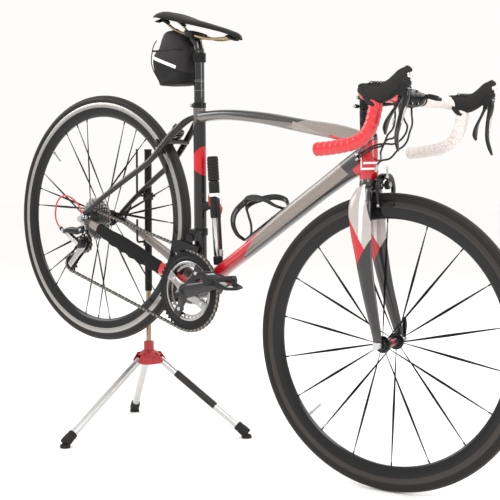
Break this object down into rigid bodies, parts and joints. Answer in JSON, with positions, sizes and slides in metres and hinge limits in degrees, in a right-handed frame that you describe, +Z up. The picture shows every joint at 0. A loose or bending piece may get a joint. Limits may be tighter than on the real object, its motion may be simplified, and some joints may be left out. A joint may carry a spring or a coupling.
{
  "type": "bicycle on stand",
  "caption": "Road racing bicycle with drop bar and wheels, leaning nose-down on a folding tripod display stand that hooks under its rear stays.",
  "frame": {"origin": "on the floor under the middle of the whole object's bounding box", "axes": "+X along the floor towards the front wheel, +Y to the rider's left, +Z up"},
  "size_m": [1.6177, 0.4818, 1.1269],
  "materials": {
    "charcoal_paint": "satin charcoal lacquer over carbon laminate",
    "taupe_paint": "warm taupe metallic lacquer",
    "red_paint": "gloss red lacquer",
    "stand_red": "red powder-coated casting",
    "stand_silver": "drawn tube with a brushed finish",
    "stand_champagne": "champagne anodised tube",
    "stand_black": "black painted steel",
    "black_rubber": "matt black moulded rubber",
    "tyre_rubber": "fine road tread",
    "rim_black": "black carbon rim with machined brake track",
    "black_alloy": "black anodised forging",
    "silver_alloy": "machined and polished",
    "steel": "plated steel",
    "saddle_cover": "black cover with bronze rails",
    "bag_fabric": "woven dark grey nylon with a reflective band",
    "guard_neoprene": "stretch neoprene",
    "gloss_black": "gloss black carbon",
    "matt_black_plastic": "moulded black resin",
    "tape_red": "glossy red wrapped tape",
    "tape_white": "white perforated tape",
    "cable_black": "black outer cable"
  },
  "bodies": {
    "stand_base": {"stand_hub": "stand_red", "lower_post": "stand_champagne"},
    "leg_right": {"stand_leg_right": "stand_silver"},
    "leg_near": {"stand_leg_near": "stand_silver"},
    "leg_back": {"stand_leg_back": "stand_silver"},
    "mast": {"upper_post": "stand_black"},
    "upper_hook": {"upper_hook": "stand_black"},
    "lower_hook": {"lower_hook": "stand_black"},
    "bike_frame": {"head_tube": "red_paint", "top_tube": "charcoal_paint", "down_tube": "taupe_paint", "seat_tube": "charcoal_paint", "seatstays": "charcoal_paint", "chainstays": "taupe_paint", "chainstay_guard": "guard_neoprene", "chain": "steel", "front_derailleur": "silver_alloy", "rear_derailleur": "black_alloy", "rear_skewer": "steel", "bottle_cage": "matt_black_plastic", "pump": "matt_black_plastic"},
    "seat": {"seatpost": "gloss_black", "saddle": "saddle_cover", "saddle_bag": "bag_fabric"},
    "steering": {"fork": "taupe_paint", "stem": "black_alloy", "handlebar": "black_alloy", "tape_right": "tape_red", "tape_left": "tape_white", "hood_right": "black_rubber", "hood_left": "black_rubber", "front_skewer": "steel", "control_cables": "cable_black"},
    "front_wheel": {"front_tyre": "tyre_rubber", "front_rim": "rim_black", "front_spokes": "steel", "front_hub": "black_alloy"},
    "rear_wheel": {"rear_tyre": "tyre_rubber", "rear_rim": "rim_black", "rear_spokes": "steel", "rear_hub": "black_alloy"},
    "cassette": {"cassette": "steel"},
    "crank": {"chainrings": "silver_alloy", "crank_right": "black_alloy", "crank_left": "black_alloy"},
    "pedal_right": {"pedal_right": "matt_black_plastic"},
    "pedal_left": {"pedal_left": "matt_black_plastic"},
    "brake_lever_right": {"brake_lever_right": "gloss_black"},
    "brake_lever_left": {"brake_lever_left": "gloss_black"},
    "shift_lever_right": {"shift_lever_right": "gloss_black"},
    "shift_lever_left": {"shift_lever_left": "gloss_black"},
    "front_brake_arm_right": {"front_brake_arm_right": "black_alloy"},
    "front_brake_arm_left": {"front_brake_arm_left": "black_alloy"},
    "rear_brake_arm_right": {"rear_brake_arm_right": "black_alloy"},
    "rear_brake_arm_left": {"rear_brake_arm_left": "black_alloy"},
    "front_release_lever": {"front_release_lever": "black_alloy"},
    "rear_release_lever": {"rear_release_lever": "black_alloy"},
    "derailleur_cage": {"derailleur_cage": "silver_alloy"},
    "guide_pulley": {"guide_pulley": "matt_black_plastic"},
    "tension_pulley": {"tension_pulley": "matt_black_plastic"}
  },
  "joints": [
    {"name": "leg_right_fold", "type": "hinge", "parent": "stand_base", "child": "leg_right", "pos_m": [-0.341, 0.07844, 0.203], "axis": [-0.4195, 0.9078, 0], "range_deg": [0, 50]},
    {"name": "leg_near_fold", "type": "hinge", "parent": "stand_base", "child": "leg_near", "pos_m": [-0.37495, 0.03032, 0.203], "axis": [0.9959, -0.0906, 0], "range_deg": [0, 50]},
    {"name": "leg_back_fold", "type": "hinge", "parent": "stand_base", "child": "leg_back", "pos_m": [-0.39965, 0.08378, 0.203], "axis": [-0.5764, -0.8171, 0], "range_deg": [0, 50]},
    {"name": "mast_slide", "type": "slide", "parent": "stand_base", "child": "mast", "axis": [0, 0, 1], "range_m": [0, 0.12]},
    {"name": "upper_hook_slide", "type": "slide", "parent": "mast", "child": "upper_hook", "axis": [0, 0, 1], "range_m": [0, 0.05]},
    {"name": "lower_hook_slide", "type": "slide", "parent": "mast", "child": "lower_hook", "axis": [0, 0, 1], "range_m": [-0.08, 0]},
    {"name": "bike_lift", "type": "slide", "parent": "upper_hook", "child": "bike_frame", "axis": [0, 0, 1], "range_m": [0, 0.06]},
    {"name": "seatpost_slide", "type": "slide", "parent": "bike_frame", "child": "seat", "axis": [-0.0097, 0, 1], "range_m": [-0.04, 0.03]},
    {"name": "steering", "type": "hinge", "parent": "bike_frame", "child": "steering", "pos_m": [0.42006, -0.01482, 0.7344], "axis": [-0.0324, 0, 0.9995], "range_deg": [-52, 37], "deforming": ["control_cables"]},
    {"name": "front_wheel_spin", "type": "hinge", "parent": "steering", "child": "front_wheel", "pos_m": [0.47563, -0.00921, 0.33599], "axis": [-0.1305, 0.9914, -0.0042], "continuous": true},
    {"name": "rear_wheel_spin", "type": "hinge", "parent": "bike_frame", "child": "rear_wheel", "pos_m": [-0.47287, -0.01482, 0.5928], "axis": [0, 1, 0], "continuous": true},
    {"name": "crank_spin", "type": "hinge", "parent": "bike_frame", "child": "crank", "pos_m": [-0.09826, -0.01482, 0.4189], "axis": [0, 1, 0], "continuous": true},
    {"name": "cassette_spin", "type": "hinge", "parent": "bike_frame", "child": "cassette", "pos_m": [-0.47287, -0.01482, 0.5928], "axis": [0, 1, 0], "continuous": true},
    {"name": "pedal_right_spin", "type": "hinge", "parent": "crank", "child": "pedal_right", "pos_m": [0.06991, -0.01482, 0.45728], "axis": [0, 1, 0], "continuous": true},
    {"name": "pedal_left_spin", "type": "hinge", "parent": "crank", "child": "pedal_left", "pos_m": [-0.26644, -0.01482, 0.38052], "axis": [0, 1, 0], "continuous": true},
    {"name": "brake_lever_right_squeeze", "type": "hinge", "parent": "steering", "child": "brake_lever_right", "pos_m": [0.64104, -0.19997, 0.88059], "axis": [-0.101, 0.9949, -0.0033], "range_deg": [0, 12], "stiffness_Nm_per_rad": 0.6, "springref_deg": -14.32},
    {"name": "shift_lever_right_push", "type": "hinge", "parent": "brake_lever_right", "child": "shift_lever_right", "pos_m": [0.62772, -0.20137, 0.86557], "axis": [0.9604, 0.0966, -0.2614], "range_deg": [0, 10], "stiffness_Nm_per_rad": 0.2, "springref_deg": -11.46},
    {"name": "brake_lever_left_squeeze", "type": "hinge", "parent": "steering", "child": "brake_lever_left", "pos_m": [0.59922, 0.21191, 0.87923], "axis": [-0.101, 0.9949, -0.0033], "range_deg": [0, 12], "stiffness_Nm_per_rad": 0.6, "springref_deg": -14.32},
    {"name": "shift_lever_left_push", "type": "hinge", "parent": "brake_lever_left", "child": "shift_lever_left", "pos_m": [0.58591, 0.21051, 0.86421], "axis": [-0.9604, -0.0966, 0.2614], "range_deg": [0, 10], "stiffness_Nm_per_rad": 0.2, "springref_deg": -11.46},
    {"name": "front_brake_arm_right_swing", "type": "hinge", "parent": "steering", "child": "front_brake_arm_right", "pos_m": [0.45551, -0.0275, 0.68852], "axis": [0.9909, 0.1305, 0.0321], "range_deg": [0, 2.2]},
    {"name": "front_brake_arm_left_swing", "type": "hinge", "parent": "steering", "child": "front_brake_arm_left", "pos_m": [0.46271, -0.0094, 0.68876], "axis": [-0.9909, -0.1305, -0.0321], "range_deg": [0, 2.2]},
    {"name": "rear_brake_arm_right_swing", "type": "hinge", "parent": "bike_frame", "child": "rear_brake_arm_right", "pos_m": [-0.18891, -0.03182, 0.80275], "axis": [0.5715, 0, -0.8206], "range_deg": [0, 2.2]},
    {"name": "rear_brake_arm_left_swing", "type": "hinge", "parent": "bike_frame", "child": "rear_brake_arm_left", "pos_m": [-0.19434, -0.01482, 0.81055], "axis": [-0.5715, 0, 0.8206], "range_deg": [0, 2.2]},
    {"name": "front_release_lever_swing", "type": "hinge", "parent": "steering", "child": "front_release_lever", "pos_m": [0.46643, 0.06069, 0.33569], "axis": [-0.9875, -0.1296, 0.0899], "range_deg": [0, 170]},
    {"name": "rear_release_lever_swing", "type": "hinge", "parent": "bike_frame", "child": "rear_release_lever", "pos_m": [-0.47287, 0.06968, 0.5928], "axis": [-0.7971, 0, 0.6038], "range_deg": [0, 170]},
    {"name": "derailleur_cage_swing", "type": "hinge", "parent": "bike_frame", "child": "derailleur_cage", "pos_m": [-0.48922, -0.01482, 0.52471], "axis": [0, 1, 0], "range_deg": [-6, 14], "deforming": ["chain"]},
    {"name": "guide_pulley_spin", "type": "hinge", "parent": "derailleur_cage", "child": "guide_pulley", "pos_m": [-0.48922, -0.01482, 0.52471], "axis": [0, 1, 0], "continuous": true},
    {"name": "tension_pulley_spin", "type": "hinge", "parent": "derailleur_cage", "child": "tension_pulley", "pos_m": [-0.5456, -0.01482, 0.46952], "axis": [0, 1, 0], "continuous": true}
  ],
  "couplings": [
    {"joint": "cassette_spin", "follows": "crank_spin", "ratio": 3.5714},
    {"joint": "guide_pulley_spin", "follows": "crank_spin", "ratio": -4.5455},
    {"joint": "tension_pulley_spin", "follows": "crank_spin", "ratio": 4.5455},
    {"joint": "front_brake_arm_right_swing", "follows": "brake_lever_left_squeeze", "ratio": 0.17},
    {"joint": "front_brake_arm_left_swing", "follows": "brake_lever_left_squeeze", "ratio": 0.17},
    {"joint": "rear_brake_arm_right_swing", "follows": "brake_lever_right_squeeze", "ratio": 0.17},
    {"joint": "rear_brake_arm_left_swing", "follows": "brake_lever_right_squeeze", "ratio": 0.17}
  ]
}
